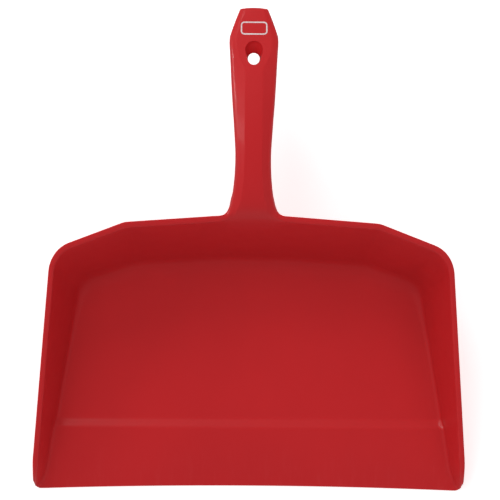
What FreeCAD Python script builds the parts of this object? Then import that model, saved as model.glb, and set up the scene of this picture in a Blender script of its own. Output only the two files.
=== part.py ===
"""Hand-held dust pan, one moulding in red polypropylene, as a parametric FreeCAD document.

Millimetres, +Z up. The pan stands on z = 0 with its scraping lip at -Y and the end of its handle at +Y.
The origin is on the ground under the middle of the whole object. The moulding is drawn whole, then divided
into its working zones, which meet face to face.
"""
import FreeCAD, Part
import math
import os

import Sketcher
from FreeCAD import Vector

DIMENSIONS = {
    # the tray's outer skin, measured in plan at ground level
    "side_offset": 113.1,    # from the origin square to the side wall's line
    "side_angle": 9.9,       # how much each side wall turns in towards the back
    "facet_angle": 18.7,     # turn of the slanted rear facets
    "back_angle": 3.75,      # turn of the long back panels
    "back_y": -4.3,          # back wall at the middle
    "flat_half": 24.0,       # half width of the level stretch that carries the handle
    "kink_x": 78.9,          # where the back panels meet the slanted facets
    "side_draft": 14.6,      # lean of the side walls away from the vertical
    "back_draft": 20.5,      # lean of the back wall and its facets
    "corner_low": 20.0,      # rear corner radius at the ground
    "corner_high": 23.5,     # the same corner at the top of the hull
    "kink_radius": 18.0,
    "flare_y": -144.0,       # where the sides start to spread towards the lip
    "flare_radius": 50.0,
    "hull_front": -175.0,    # the hulls run past the lip and are trimmed there
    "hull_top": 96.0,
    # skin
    "wall": 3.6,             # measured level
    "floor": 2.8,
    "foot_side": 3.5,        # inside radius where the side walls meet the floor, at the lip
    "foot_corner": 10.0,     # the same at the rear corners
    "foot_back": 16.0,       # and along the back wall
    "foot_skin": 2.8,        # added to those for the outside radius
    # rim seen from the side
    "rim_y": 27.0,
    "rim_z": 84.0,
    "rim_angle": 18.0,
    "cheek_radius": 35.0,
    "cheek_y": -141.0,
    # lip and entry ramp
    "lip_y": -165.0,
    "lip_hollow": 2.7,       # how far the lip's middle stands back from its ends
    "lip_half": 147.2,
    "lip_corner": 5.0,
    "lip_edge": 0.9,         # height of the scraping edge
    "ridge_y": -121.5,
    "ridge_z": 5.6,
    "step_y": -116.3,
    "ramp_bow": 1.0,         # how much the ramp bulges above its chord
    "ramp_skin": 2.6,
    "ramp_land": -148.0,     # where the ramp's underside comes down to the ground
    "hollow_low": 0.3,       # the hollow's height at its two ends
    "hollow_front": 2.5,     # how far its flat top runs in front of the ridge
    "hollow_back": 1.1,      # how far it stays in front of the step
    # handle
    "handle_end": 165.0,
    "end_bow": 1.0,
    "end_half": 9.3,
    "shoulder_y": 145.0,     # widest point of the handle
    "shoulder_half": 16.2,
    "core_wall": 3.4,        # skin round the hollow core
    "saddle_y": 18.72,       # where the wall's inner face starts to bend back into the handle
    "saddle_z": 71.2,
    "saddle_bow": 1.3,
    "saddle_half": 17.0,
    # hanging hole, in the tilted plane of the handle's end
    "end_tilt": 16.8,
    "hole_y": 130.9,
    "hole_z": 92.74,
    "throat_r": 3.95,
    "scoop_low_r": 4.1,
    "scoop_high_r": 5.7,
    "scoop_shift": 6.6,
    "scoop_depth": 7.5,
    "throat_len": 6.0,
    "exit_low_r": 4.9,
    "exit_high_r": 5.6,
    "exit_shift": 2.0,
    "exit_depth": 23.0,
    # printed badge
    "badge_y": 151.2,
    "badge_z": 86.62,
    "badge_corner": 2.4,
    "badge_w": 17.6,
    "badge_l": 9.0,
    "badge_line": 0.9,
    "badge_deep": 0.5,
    "badge_proud": 0.1,
    # construction bodies run this far past the pan, so that they cut it right through
    "reach": 60.0,
    "span": 400.0,
    "headroom": 150.0,
    # division into zones
    "foot_band": 20.0,       # the wall zones keep this much of the floor
    "lip_zone": -153.0,
    "ramp_zone": -125.0,
    "ridge_zone": -112.0,
    "corner_zone": -36.0,
    "back_zone": 74.0,
    "neck_zone": 28.6,
    "grip_zone": 60.0,
    "eye_zone": 118.0,
}

# Handle sections, root to end: y and z of the top, lean of the section, half width, depth, half width of the
# top facet, drop of the side bevels.
SECTION_LETTERS = "abcdefghijklm"
CORE_LETTERS = "fghij"      # sections that the hollow core runs through
SECTION_FIELDS = ("top_y", "top_z", "lean", "half", "depth", "facet", "bevel")
SECTIONS = [
    (15.3, 51.0, 73.0, 23.5, 1.6, 19.0, 0.1),
    (18.9, 62.5, 70.0, 23.5, 2.6, 19.0, 0.3),
    (24.6, 80.2, 33.0, 18.2, 13.9, 14.0, 1.4),
    (30.7, 87.4, 28.0, 14.8, 19.2, 9.2, 2.6),
    (38.0, 92.2, 22.0, 13.5, 21.6, 7.0, 3.2),
    (49.0, 96.2, 15.0, 12.4, 22.6, 6.1, 3.1),
    (65.0, 99.0, 7.0, 11.8, 23.2, 5.8, 3.0),
    (84.0, 100.0, -1.0, 12.7, 23.8, 5.8, 3.1),
    (106.0, 98.4, -8.0, 14.2, 23.4, 5.8, 3.2),
    (123.0, 95.0, -13.0, 15.1, 22.4, 6.4, 2.9),
    (134.0, 91.8, -16.0, 15.6, 21.4, 10.8, 1.4),
    (147.0, 87.9, -16.8, 16.2, 20.2, 12.0, 1.1),
    (172.0, 80.35, -16.8, 16.4, 18.2, 13.0, 0.9),
]

for letter, section in zip(SECTION_LETTERS, SECTIONS):
    for field, number in zip(SECTION_FIELDS, section):
        DIMENSIONS[f"{field}_{letter}"] = number

doc = FreeCAD.newDocument("dust_pan")
sheet = doc.addObject("Spreadsheet::Sheet", "sizes")
for row, (alias, number) in enumerate(DIMENSIONS.items(), start=1):
    sheet.set(f"A{row}", alias)
    sheet.set(f"B{row}", str(number))
    sheet.setAlias(f"B{row}", alias)
doc.recompute()


def size(alias):
    return float(sheet.get(alias))


def tan(degrees):
    return math.tan(math.radians(degrees))


def origin_plane(body, role):
    return next(f for f in body.Origin.OriginFeatures if f.Role == role)


def add_sketch(body, name, role, offset=None):
    sketch = body.newObject("Sketcher::SketchObject", name)
    sketch.AttachmentSupport = [(origin_plane(body, role), "")]
    sketch.MapMode = "FlatFace"
    if offset:
        sketch.setExpression("AttachmentOffset.Base.z", offset)
    return sketch


def constrain(sketch, formula, *what):
    """Adds a dimension and binds it to a formula over the sheet."""
    index = sketch.addConstraint(Sketcher.Constraint(*what))
    sketch.setExpression(f"Constraints[{index}]", formula)


# --- plan outline of the tray, shared by every hull ---------------------------------------------------------

def meet(first, second):
    """Crossing of two plan lines, each (normal's angle from +Y towards +X, distance from the origin)."""
    (a, p), (b, q) = first, second
    a, b = math.radians(a), math.radians(b)
    det = math.sin(a - b)
    return Vector((p * math.cos(b) - q * math.cos(a)) / det, (q * math.sin(a) - p * math.sin(b)) / det, 0)


def plan_lines(level, inset):
    """The four wall lines of the right half at a height, moved in by inset."""
    back_x, back_y, kink = size("flat_half"), size("back_y"), size("kink_x")
    back_turn, facet_turn = math.radians(size("back_angle")), math.radians(size("facet_angle"))
    back = back_x * math.sin(back_turn) + back_y * math.cos(back_turn)
    kink_y = back_y - (kink - back_x) * math.tan(back_turn)
    facet = kink * math.sin(facet_turn) + kink_y * math.cos(facet_turn)
    rear = level * tan(size("back_draft")) - inset
    flank = level * tan(size("side_draft")) - inset
    return [
        (0.0, back_y + rear),
        (size("back_angle"), back + rear),
        (size("facet_angle"), facet + rear),
        (90.0 - size("side_angle"), size("side_offset") + flank),
    ]


def round_corner(before, corner, after, radius):
    """Tangent points and centre of an arc of that radius in a corner."""
    one, two = (before - corner).normalize(), (after - corner).normalize()
    half = one.getAngle(two) / 2
    reach = radius / math.tan(half)
    centre = corner + (one + two).normalize() * (radius / math.sin(half))
    return corner + one * reach, corner + two * reach, centre


def arc_between(start, end, centre):
    """Circle arc of less than half a turn, and whether it runs counter-clockwise from start to end."""
    forward = (start - centre).cross(end - centre).z > 0
    first, last = (start, end) if forward else (end, start)
    a = math.atan2(first.y - centre.y, first.x - centre.x)
    b = math.atan2(last.y - centre.y, last.x - centre.x)
    return Part.ArcOfCircle(Part.Circle(centre, Vector(0, 0, 1), (start - centre).Length), a, b), forward


def draw_chain(sketch, pieces, smooth=()):
    """Draws lines (start, end) and arcs (start, end, centre) as a closed chain; returns geometry and ends."""
    chain = []
    for piece in pieces:
        if len(piece) == 2:
            chain.append((sketch.addGeometry(Part.LineSegment(*piece)), 1, 2))
        else:
            arc, forward = arc_between(*piece)
            chain.append((sketch.addGeometry(arc),) + ((1, 2) if forward else (2, 1)))
    for i, (geo, _, last) in enumerate(chain):
        following, first, _ = chain[(i + 1) % len(chain)]
        kind = "Tangent" if i in smooth else "Coincident"
        sketch.addConstraint(Sketcher.Constraint(kind, geo, last, following, first))
    return chain


def signed(formula, value):
    return formula if value >= 0 else f"-({formula})"


def outline_sketch(body, name, height, inset, corner):
    """Right half of the tray's outline. Height, inset and corner radius are formulas over the sheet."""
    sketch = add_sketch(body, name, "XY_Plane", height)
    doc.recompute()
    level = sketch.AttachmentOffset.Base.z
    inset_now, corner_now = [float(sheet.evalExpression(f.replace("sizes.", ""))) for f in (inset, corner)]
    flat, back, facet, side = plan_lines(level, inset_now)
    flat_end, kink, corner_point = meet(flat, back), meet(back, facet), meet(facet, side)
    front = size("hull_front")
    side_front = meet(side, (180.0, -front))
    k1, k2, kink_centre = round_corner(flat_end, kink, corner_point, size("kink_radius"))
    c1, c2, corner_centre = round_corner(kink, corner_point, side_front, corner_now)
    along = (side_front - corner_point).normalize()
    flare_start = corner_point + along * ((size("flare_y") - corner_point.y) / along.y)
    flare_centre = flare_start + Vector(-along.y, along.x, 0) * size("flare_radius")
    reach = math.sqrt(size("flare_radius") ** 2 - (front - flare_centre.y) ** 2)
    flare_end = Vector(flare_centre.x - reach, front, 0)
    axis_back, axis_front = Vector(0, flat[1], 0), Vector(0, front, 0)
    chain = draw_chain(sketch, [
        (axis_back, flat_end), (flat_end, k1), (k1, k2, kink_centre), (k2, c1), (c1, c2, corner_centre),
        (c2, flare_start), (flare_start, flare_end, flare_centre), (flare_end, axis_front),
        (axis_front, axis_back)], smooth={1, 2, 3, 4, 5})
    flat_l, back_l, kink_a, facet_l, corner_a, side_l, flare_a, front_l, axis_l = [link[0] for link in chain]
    sketch.addConstraint(Sketcher.Constraint("Horizontal", flat_l))
    sketch.addConstraint(Sketcher.Constraint("Horizontal", front_l))
    sketch.addConstraint(Sketcher.Constraint("Vertical", axis_l))
    sketch.addConstraint(Sketcher.Constraint("PointOnObject", axis_l, 1, -2))
    rear = f"(({height or 0}) * tan(sizes.back_draft * 1 deg) - ({inset}))"
    flank = f"(({height or 0}) * tan(sizes.side_draft * 1 deg) - ({inset}))"
    back_d = "sizes.flat_half * sin(sizes.back_angle * 1 deg) + sizes.back_y * cos(sizes.back_angle * 1 deg)"
    kink_y = "(sizes.back_y - (sizes.kink_x - sizes.flat_half) * tan(sizes.back_angle * 1 deg))"
    facet_d = f"sizes.kink_x * sin(sizes.facet_angle * 1 deg) + {kink_y} * cos(sizes.facet_angle * 1 deg)"
    constrain(sketch, f"sizes.back_y + {rear}", "DistanceY", -1, 1, flat_l, 1, flat[1])
    constrain(sketch, signed(f"{back_d} + {rear}", back[1]), "Distance", -1, 1, back_l, abs(back[1]))
    constrain(sketch, signed(f"{facet_d} + {rear}", facet[1]), "Distance", -1, 1, facet_l, abs(facet[1]))
    constrain(sketch, f"sizes.side_offset + {flank}", "Distance", -1, 1, side_l, side[1])
    constrain(sketch, "-sizes.back_angle * 1 deg", "Angle", back_l, -math.radians(back[0]))
    constrain(sketch, "-sizes.facet_angle * 1 deg", "Angle", facet_l, -math.radians(facet[0]))
    constrain(sketch, "(sizes.side_angle - 90) * 1 deg", "Angle", side_l, -math.radians(side[0]))
    constrain(sketch, "sizes.kink_radius", "Radius", kink_a, size("kink_radius"))
    constrain(sketch, corner, "Radius", corner_a, corner_now)
    constrain(sketch, "sizes.flare_radius", "Radius", flare_a, size("flare_radius"))
    constrain(sketch, "sizes.hull_front", "DistanceY", -1, 1, front_l, 1, front)
    constrain(sketch, "sizes.flare_y", "DistanceY", -1, 1, side_l, 2, size("flare_y"))
    return sketch


def mirrored(body, feature):
    """Completes a right half with its mirror image."""
    mirror = body.newObject("PartDesign::Mirrored", feature.Name + "_both")
    mirror.Originals = [feature]
    mirror.MirrorPlane = (origin_plane(body, "YZ_Plane"), [""])
    body.Tip = mirror
    return mirror


def hull(label, bottom, inset):
    """Solid inside the tray's skin at that inset, from a height up past the rim."""
    body = doc.addObject("PartDesign::Body", label)
    radius_low, radius_high = f"sizes.corner_low - ({inset})", f"sizes.corner_high - ({inset})"
    low = outline_sketch(body, label + "_low", bottom, inset, radius_low)
    high = outline_sketch(body, label + "_high", "sizes.hull_top", inset, radius_high)
    loft = body.newObject("PartDesign::AdditiveLoft", label + "_walls")
    loft.Profile = low
    loft.Sections = [high]
    loft.Ruled = True
    mirrored(body, loft)
    return body


# --- small helpers for solids -------------------------------------------------------------------------------

def add_pad(body, sketch, name, length, symmetric=False):
    pad = body.newObject("PartDesign::Pad", name)
    pad.Profile = sketch
    pad.SideType = "Symmetric" if symmetric else "One side"
    pad.setExpression("Length", length)
    body.Tip = pad
    return pad


def combine(kind, name, first, second):
    """Part::Cut or Part::Common of two objects."""
    result = doc.addObject(kind, name)
    result.Base = first
    result.Tool = second
    return result


def fuse(name, shapes):
    result = doc.addObject("Part::MultiFuse", name)
    result.Shapes = shapes
    return result


def round_edges(base, name, radii_of):
    """Rounds the edges for which radii_of(edge) gives a (start radius, end radius) pair."""
    doc.recompute()
    chosen = []
    for number, edge in enumerate(base.Shape.Edges, start=1):
        radii = radii_of(edge)
        if radii:
            chosen.append((number, *radii))
    result = doc.addObject("Part::Fillet", name)
    result.Base = base
    result.Edges = chosen
    return result


def pad_profile(label, role, points, length, symmetric=True, arcs=()):
    """Pad of a closed outline. Points are pairs of formulas; arcs gives some sides, by number, a bulge."""
    body = doc.addObject("PartDesign::Body", label)
    sketch = add_sketch(body, label + "_outline", role)
    numbers = [tuple(float(sheet.evalExpression(f.replace("sizes.", ""))) for f in pair) for pair in points]
    corners = [Vector(u, v, 0) for u, v in numbers]
    arcs = dict(arcs)
    pieces = []
    for i, start in enumerate(corners):
        end = corners[(i + 1) % len(corners)]
        if i in arcs:
            bulge = float(sheet.evalExpression(arcs[i].replace("sizes.", "")))
            chord = end - start
            radius = (chord.Length ** 2 / 4 + bulge ** 2) / (2 * abs(bulge))
            side = Vector(-chord.y, chord.x, 0).normalize() * math.copysign(radius - abs(bulge), bulge)
            pieces.append((start, end, (start + end) / 2 - side))
        else:
            pieces.append((start, end))
    chain = draw_chain(sketch, pieces)
    for (geo, first, _), (u, v), (un, vn) in zip(chain, points, numbers):
        constrain(sketch, u, "DistanceX", -1, 1, geo, first, un)
        constrain(sketch, v, "DistanceY", -1, 1, geo, first, vn)
    for i, bulge in arcs.items():
        start, end = numbers[i], numbers[(i + 1) % len(numbers)]
        (u0, v0), (u1, v1) = points[i], points[(i + 1) % len(points)]
        chord2 = f"((({u1}) - ({u0}))^2 + (({v1}) - ({v0}))^2)"
        bulge_now = float(sheet.evalExpression(bulge.replace("sizes.", "")))
        now = ((end[0] - start[0]) ** 2 + (end[1] - start[1]) ** 2) / 8 / abs(bulge_now) + abs(bulge_now) / 2
        constrain(sketch, f"{chord2} / 8 / abs({bulge}) + abs({bulge}) / 2", "Radius", chain[i][0], now)
    add_pad(body, sketch, label + "_pad", length, symmetric)
    return body


# --- tray ---------------------------------------------------------------------------------------------------

LONG_EDGE = 60          # the side walls' edges are longer than this, the others shorter
CORNER_REACH = 22       # the rear corners' edges lie at least this far outside the kinks


def near(value, target, slack=0.05):
    return abs(value - target) < slack


def outer_foot(edge):
    """Outside rounding: wide under the back wall, less and less along the sides."""
    box = edge.BoundBox
    if box.ZMax > 0.01 or near(box.YMax, size("hull_front")):
        return None
    return tuple(radius + size("foot_skin") for radius in foot_radii(edge))


def foot_radii(edge):
    """Start and end radius of an edge along the foot of the tray's walls."""
    box = edge.BoundBox
    back, corner, side = size("foot_back"), size("foot_corner"), size("foot_side")
    if box.YMax < size("ramp_zone"):
        return side, side
    if box.YLength > LONG_EDGE:
        return graded(edge, corner, side)
    if abs(box.Center.x) > size("kink_x") + CORNER_REACH:
        return graded(edge, back, corner)
    return back, back


def graded(edge, rear, front):
    """Start and end radius of an edge between the rear and the front; a fillet runs once round the tray."""
    return (rear, front) if edge.BoundBox.Center.x < 0 else (front, rear)


def inner_foot(edge):
    """Inside rounding where the walls meet the floor."""
    box = edge.BoundBox
    if not near(box.ZMax, size("floor")) or near(box.YLength, 0) and box.YMax < size("step_y") + 1:
        return None
    return foot_radii(edge)


def ramp_foot(edge):
    """Inside rounding where the side walls meet the entry ramp."""
    box = edge.BoundBox
    if box.ZMin > size("ridge_z") - 0.05 or box.YLength < 0.05 or box.ZMax > size("ridge_z") + 0.05:
        return None
    return size("foot_side"), size("foot_side")


hull_outer = hull("outer_hull", "0", "0")
hull_inner = hull("inner_hull", "0", "sizes.wall")

rear_space = pad_profile("rear_space", "YZ_Plane", [
    ("sizes.reach", "sizes.floor"), ("sizes.reach", "sizes.headroom"), ("sizes.ridge_y", "sizes.headroom"),
    ("sizes.ridge_y", "sizes.ridge_z"), ("sizes.step_y", "sizes.floor")], "sizes.span")
ramp_space = pad_profile("ramp_space", "YZ_Plane", [
    ("sizes.step_y", "sizes.headroom"), ("-sizes.span / 2", "sizes.headroom"),
    ("-sizes.span / 2", "sizes.lip_edge"), ("sizes.lip_y", "sizes.lip_edge"),
    ("sizes.ridge_y", "sizes.ridge_z"), ("sizes.step_y", "sizes.ridge_z")],
    "sizes.span",
    arcs={3: "sizes.ramp_bow"})
rear_room = combine("Part::Common", "rear_room", hull_inner, rear_space)
ramp_room = combine("Part::Common", "ramp_room", hull_inner, ramp_space)
rear_cavity = round_edges(rear_room, "rear_cavity", inner_foot)
ramp_cavity = round_edges(ramp_room, "ramp_cavity", ramp_foot)
rounded_hull = round_edges(hull_outer, "rounded_hull", outer_foot)

# The rim seen from the side: a straight slope, then a quarter round down to the lip.
slope = "tan(sizes.rim_angle * 1 deg)"
cheek_z = f"(sizes.rim_z - (sizes.rim_y - sizes.cheek_y) * {slope})"
centre_y = "(sizes.cheek_y + sizes.cheek_radius * sin(sizes.rim_angle * 1 deg))"
centre_z = f"({cheek_z} - sizes.cheek_radius * cos(sizes.rim_angle * 1 deg))"
cheek_foot = f"({centre_y} - sqrt(sizes.cheek_radius^2 - {centre_z}^2))"
chord2 = f"((sizes.cheek_y - {cheek_foot})^2 + {cheek_z}^2)"
side_keeper = pad_profile("side_keeper", "YZ_Plane", [
    ("sizes.reach", "0"), ("sizes.reach", f"sizes.rim_z + (sizes.reach - sizes.rim_y) * {slope}"),
    ("sizes.cheek_y", cheek_z), (cheek_foot, "0")], "sizes.span",
    arcs={2: f"-(sizes.cheek_radius - sqrt(sizes.cheek_radius^2 - {chord2} / 4))"})

# The lip in plan: a shallow hollow between two rounded corners.
lip_keeper = pad_profile("lip_keeper", "XY_Plane", [
    ("-sizes.lip_half", "sizes.reach"), ("-sizes.lip_half", "sizes.lip_y + sizes.lip_corner"),
    ("sizes.lip_corner - sizes.lip_half", "sizes.lip_y"),
    ("sizes.lip_half - sizes.lip_corner", "sizes.lip_y"),
    ("sizes.lip_half", "sizes.lip_y + sizes.lip_corner"), ("sizes.lip_half", "sizes.reach")],
    "sizes.headroom", symmetric=False,
    arcs={1: "-sizes.lip_corner * (1 - cos(45 deg))", 2: "sizes.lip_hollow",
          3: "-sizes.lip_corner * (1 - cos(45 deg))"})

# The hollow under the entry ramp, open to the ground.
ramp_hollow = pad_profile("ramp_hollow", "YZ_Plane", [
    ("sizes.ramp_land", "-sizes.floor"), ("sizes.ramp_land", "sizes.hollow_low"),
    ("sizes.ridge_y - sizes.hollow_front", "sizes.ridge_z - sizes.ramp_skin"),
    ("sizes.ridge_y - sizes.hollow_back", "sizes.ridge_z - sizes.ramp_skin"),
    ("sizes.step_y - sizes.hollow_back", "sizes.hollow_low"),
    ("sizes.step_y - sizes.hollow_back", "-sizes.floor")],
    "sizes.span")

trimmed = combine("Part::Common", "trimmed_side", rounded_hull, side_keeper)
trimmed = combine("Part::Common", "trimmed_lip", trimmed, lip_keeper)


# --- handle -------------------------------------------------------------------------------------------------

def outer_arc(start, end, radius):
    """Arc for a chain drawn counter-clockwise, bulging away from the inside."""
    chord = end - start
    rise = math.sqrt(radius ** 2 - chord.Length ** 2 / 4)
    return start, end, (start + end) / 2 + Vector(-chord.y, chord.x, 0).normalize() * rise


def section_sketch(body, letter, inset):
    """One closed section of the handle: level top, sloping bevels, round sides; inset by a formula."""
    field = {name: f"sizes.{name}_{letter}" for name in SECTION_FIELDS}
    now = {name: size(f"{name}_{letter}") for name in SECTION_FIELDS}
    gap = float(sheet.evalExpression(inset.replace("sizes.", "")))
    sketch = add_sketch(body, f"{body.Label}_{letter}", "XZ_Plane")
    lean = f"create(<<rotation>>; create(<<vector>>; 1; 0; 0); {field['lean']})"
    sketch.setExpression("AttachmentOffset", f"create(<<placement>>; create(<<vector>>; 0; {field['top_z']};"
                                             f" -{field['top_y']}); {lean})")
    half, depth = f"({field['half']} - {inset})", f"({field['depth']} - {inset})"
    half_now, depth_now = now["half"] - gap, now["depth"] - gap
    # right-hand corners from the top: facet end, bevel end, widest, start and end of the lower round
    spots = [
        (field["facet"], f"-({inset})", now["facet"], -gap),
        (f"{half} - 0.05 * {field['depth']}", f"-({field['bevel']} + {inset})",
         half_now - 0.05 * now["depth"], -now["bevel"] - gap),
        (half, f"-({field['bevel']} + {inset} + 0.2 * {field['depth']})",
         half_now, -now["bevel"] - gap - 0.2 * now["depth"]),
        (f"{half} - 0.03 * {field['depth']}", f"-{depth} + 0.3 * {field['depth']}",
         half_now - 0.03 * now["depth"], -depth_now + 0.3 * now["depth"]),
        (f"{half} - 0.33 * {field['depth']}", f"-{depth}", half_now - 0.33 * now["depth"], -depth_now),
    ]
    right = [Vector(x, y, 0) for _, _, x, y in spots]
    left = [Vector(-p.x, p.y, 0) for p in right]
    bend = now["depth"]
    upper, lower = 0.425 * bend, 0.3 * bend

    t, b, w, s, e = right
    tl, bl, wl, sl, el = left
    chain = draw_chain(sketch, [
        (t, tl), (tl, bl), outer_arc(bl, wl, upper), (wl, sl), outer_arc(sl, el, lower),
        (el, e), outer_arc(e, s, lower), (s, w), outer_arc(w, b, upper), (b, t)])
    links = [link[0] for link in chain]
    starts = {0: 0, 9: 1, 8: 2, 7: 3, 6: 4}
    for link, spot in starts.items():
        u, v, un, vn = spots[spot]
        geo, first, _ = chain[link]
        constrain(sketch, u, "DistanceX", -1, 1, geo, first, un)
        constrain(sketch, v, "DistanceY", -1, 1, geo, first, vn)
    for link, mirror in ((1, 0), (2, 9), (3, 8), (4, 7), (5, 6)):
        geo, first, _ = chain[link]
        twin, twin_first, _ = chain[mirror]
        sketch.addConstraint(Sketcher.Constraint("Symmetric", geo, first, twin, twin_first, -2))
    for link, factor, radius in ((2, 0.425, upper), (4, 0.3, lower), (6, 0.3, lower), (8, 0.425, upper)):
        constrain(sketch, f"{factor} * {field['depth']}", "Radius", links[link], radius)
    return sketch


def handle_loft(label, letters, inset):
    body = doc.addObject("PartDesign::Body", label)
    sketches = [section_sketch(body, letter, inset) for letter in letters]
    loft = body.newObject("PartDesign::AdditiveLoft", label + "_skin")
    loft.Profile = sketches[0]
    loft.Sections = sketches[1:]
    loft.Ruled = True
    body.Tip = loft
    return body


handle_raw = handle_loft("handle_raw", SECTION_LETTERS, "0")
core = handle_loft("handle_core", CORE_LETTERS, "sizes.core_wall")

# Above the handle's root the wall's rim is taken away, so that the wall's inner face runs on into the handle.
saddle = pad_profile("saddle", "YZ_Plane", [
    ("sizes.saddle_y", "sizes.saddle_z"), ("sizes.top_y_d", "sizes.top_z_d"), ("sizes.top_y_d", "130"),
    ("sizes.saddle_y", "130")], "2 * sizes.saddle_half", arcs={0: "sizes.saddle_bow"})
trimmed = combine("Part::Cut", "trimmed_saddle", trimmed, saddle)

# The end of the handle tapers from its shoulders to a slightly bowed end.
end_cutter = pad_profile("end_cutter", "XY_Plane", [
    ("sizes.reach", "sizes.shoulder_y"), ("sizes.reach", "sizes.span / 2"),
    ("-sizes.reach", "sizes.span / 2"), ("-sizes.reach", "sizes.shoulder_y"),
    ("-sizes.shoulder_half", "sizes.shoulder_y"), ("-sizes.end_half", "sizes.handle_end - sizes.end_bow"),
    ("sizes.end_half", "sizes.handle_end - sizes.end_bow"), ("sizes.shoulder_half", "sizes.shoulder_y")],
    "sizes.headroom", symmetric=False, arcs={5: "sizes.end_bow"})
handle = combine("Part::Cut", "handle_trimmed", handle_raw, end_cutter)


def tilted_place(y, z, lift):
    """Formula for a placement on the sloping face at the handle's end, lifted along the face's normal."""
    rise, run = f"({lift}) * cos(sizes.end_tilt * 1 deg)", f"({lift}) * sin(sizes.end_tilt * 1 deg)"
    base = f"create(<<vector>>; 0; {y} + {run}; {z} + {rise})"
    turn = "create(<<rotation>>; create(<<vector>>; 1; 0; 0); -sizes.end_tilt)"
    return f"create(<<placement>>; {base}; {turn})"


def egg_sketch(body, name, lift, low, high, shift):
    """Egg outline: a small round at the origin, a larger one further out, joined by tangent lines."""
    sketch = add_sketch(body, name, "XY_Plane")
    sketch.setExpression("AttachmentOffset", tilted_place("sizes.hole_y", f"sizes.hole_z + {lift}", "0"))
    r1, r2, far = [float(sheet.evalExpression(f.replace("sizes.", ""))) for f in (low, high, shift)]
    lean = math.asin((r2 - r1) / far)
    c1, c2 = Vector(0, 0, 0), Vector(0, far, 0)
    side = Vector(math.cos(lean), -math.sin(lean), 0)
    other = Vector(-side.x, side.y, 0)
    up, down = Vector(0, 1, 0), Vector(0, -1, 0)
    chain = draw_chain(sketch, [
        (c1 + side * r1, c2 + side * r2), (c2 + side * r2, c2 + up * r2, c2),
        (c2 + up * r2, c2 + other * r2, c2),
        (c2 + other * r2, c1 + other * r1), (c1 + other * r1, c1 + down * r1, c1),
        (c1 + down * r1, c1 + side * r1, c1)], smooth={0, 2, 3, 5})
    links = [link[0] for link in chain]
    for link in (4, 5):
        sketch.addConstraint(Sketcher.Constraint("Coincident", links[link], 3, -1, 1))
    sketch.addConstraint(Sketcher.Constraint("Coincident", links[1], 3, links[2], 3))
    sketch.addConstraint(Sketcher.Constraint("PointOnObject", links[1], 3, -2))
    sketch.addConstraint(Sketcher.Constraint("PointOnObject", links[1], chain[1][2], -2))
    sketch.addConstraint(Sketcher.Constraint("PointOnObject", links[4], chain[4][2], -2))
    constrain(sketch, shift, "DistanceY", -1, 1, links[1], 3, far)
    constrain(sketch, low, "Radius", links[5], r1)
    constrain(sketch, high, "Radius", links[1], r2)
    return sketch


hanging_hole = doc.addObject("PartDesign::Body", "hanging_hole")
hole_levels = [
    ("0.8", "sizes.scoop_low_r", "sizes.scoop_high_r", "sizes.scoop_shift"),
    ("-sizes.scoop_depth", "sizes.throat_r - 0.1", "sizes.throat_r - 0.08", "0.1"),
    ("-sizes.scoop_depth - sizes.throat_len", "sizes.throat_r - 0.1", "sizes.throat_r - 0.08", "0.1"),
    ("-sizes.exit_depth", "sizes.exit_low_r", "sizes.exit_high_r", "sizes.exit_shift"),
]
eggs = [egg_sketch(hanging_hole, f"egg_{i}", *level) for i, level in enumerate(hole_levels)]
funnel = hanging_hole.newObject("PartDesign::AdditiveLoft", "funnel")
funnel.Profile = eggs[0]
funnel.Sections = eggs[1:]
funnel.Ruled = True
hanging_hole.Tip = funnel

# The round, upright throat between the two funnels.
throat = doc.addObject("Part::Cylinder", "throat")
throat.setExpression("Radius", "sizes.throat_r")
throat.setExpression("Height", "sizes.throat_len")
throat.setExpression("Placement.Base.y", "sizes.hole_y")
throat.setExpression("Placement.Base.z", "sizes.hole_z - sizes.scoop_depth - sizes.throat_len")


# --- printed badge ------------------------------------------------------------------------------------------

def frame_outline(sketch, half_w, half_l, corner):
    """Rounded rectangle centred on the sketch's origin."""
    w, l, r = [float(sheet.evalExpression(f.replace("sizes.", ""))) for f in (half_w, half_l, corner)]
    pieces = []
    for turn in range(4):
        sx, sy = ((1, 1), (-1, 1), (-1, -1), (1, -1))[turn]
        centre = Vector(sx * (w - r), sy * (l - r), 0)
        first, second = Vector(sx * w, sy * (l - r), 0), Vector(sx * (w - r), sy * l, 0)
        pieces.append((first, second, centre) if turn % 2 == 0 else (second, first, centre))
    chain_pieces = []
    for i, corner_arc in enumerate(pieces):
        chain_pieces.append(corner_arc)
        chain_pieces.append((corner_arc[1], pieces[(i + 1) % 4][0]))
    chain = draw_chain(sketch, chain_pieces, smooth=set(range(8)))
    lines = [chain[i][0] for i in (1, 3, 5, 7)]
    for i, kind in enumerate(("Horizontal", "Vertical", "Horizontal", "Vertical")):
        sketch.addConstraint(Sketcher.Constraint(kind, lines[i]))
    for link in (2, 4, 6):
        sketch.addConstraint(Sketcher.Constraint("Equal", chain[0][0], chain[link][0]))
    constrain(sketch, corner, "Radius", chain[0][0], r)
    constrain(sketch, half_l, "DistanceY", -1, 1, lines[0], 1, l)
    constrain(sketch, f"-({half_l})", "DistanceY", -1, 1, lines[2], 1, -l)
    constrain(sketch, f"-({half_w})", "DistanceX", -1, 1, lines[1], 1, -w)
    constrain(sketch, half_w, "DistanceX", -1, 1, lines[3], 1, w)


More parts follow.
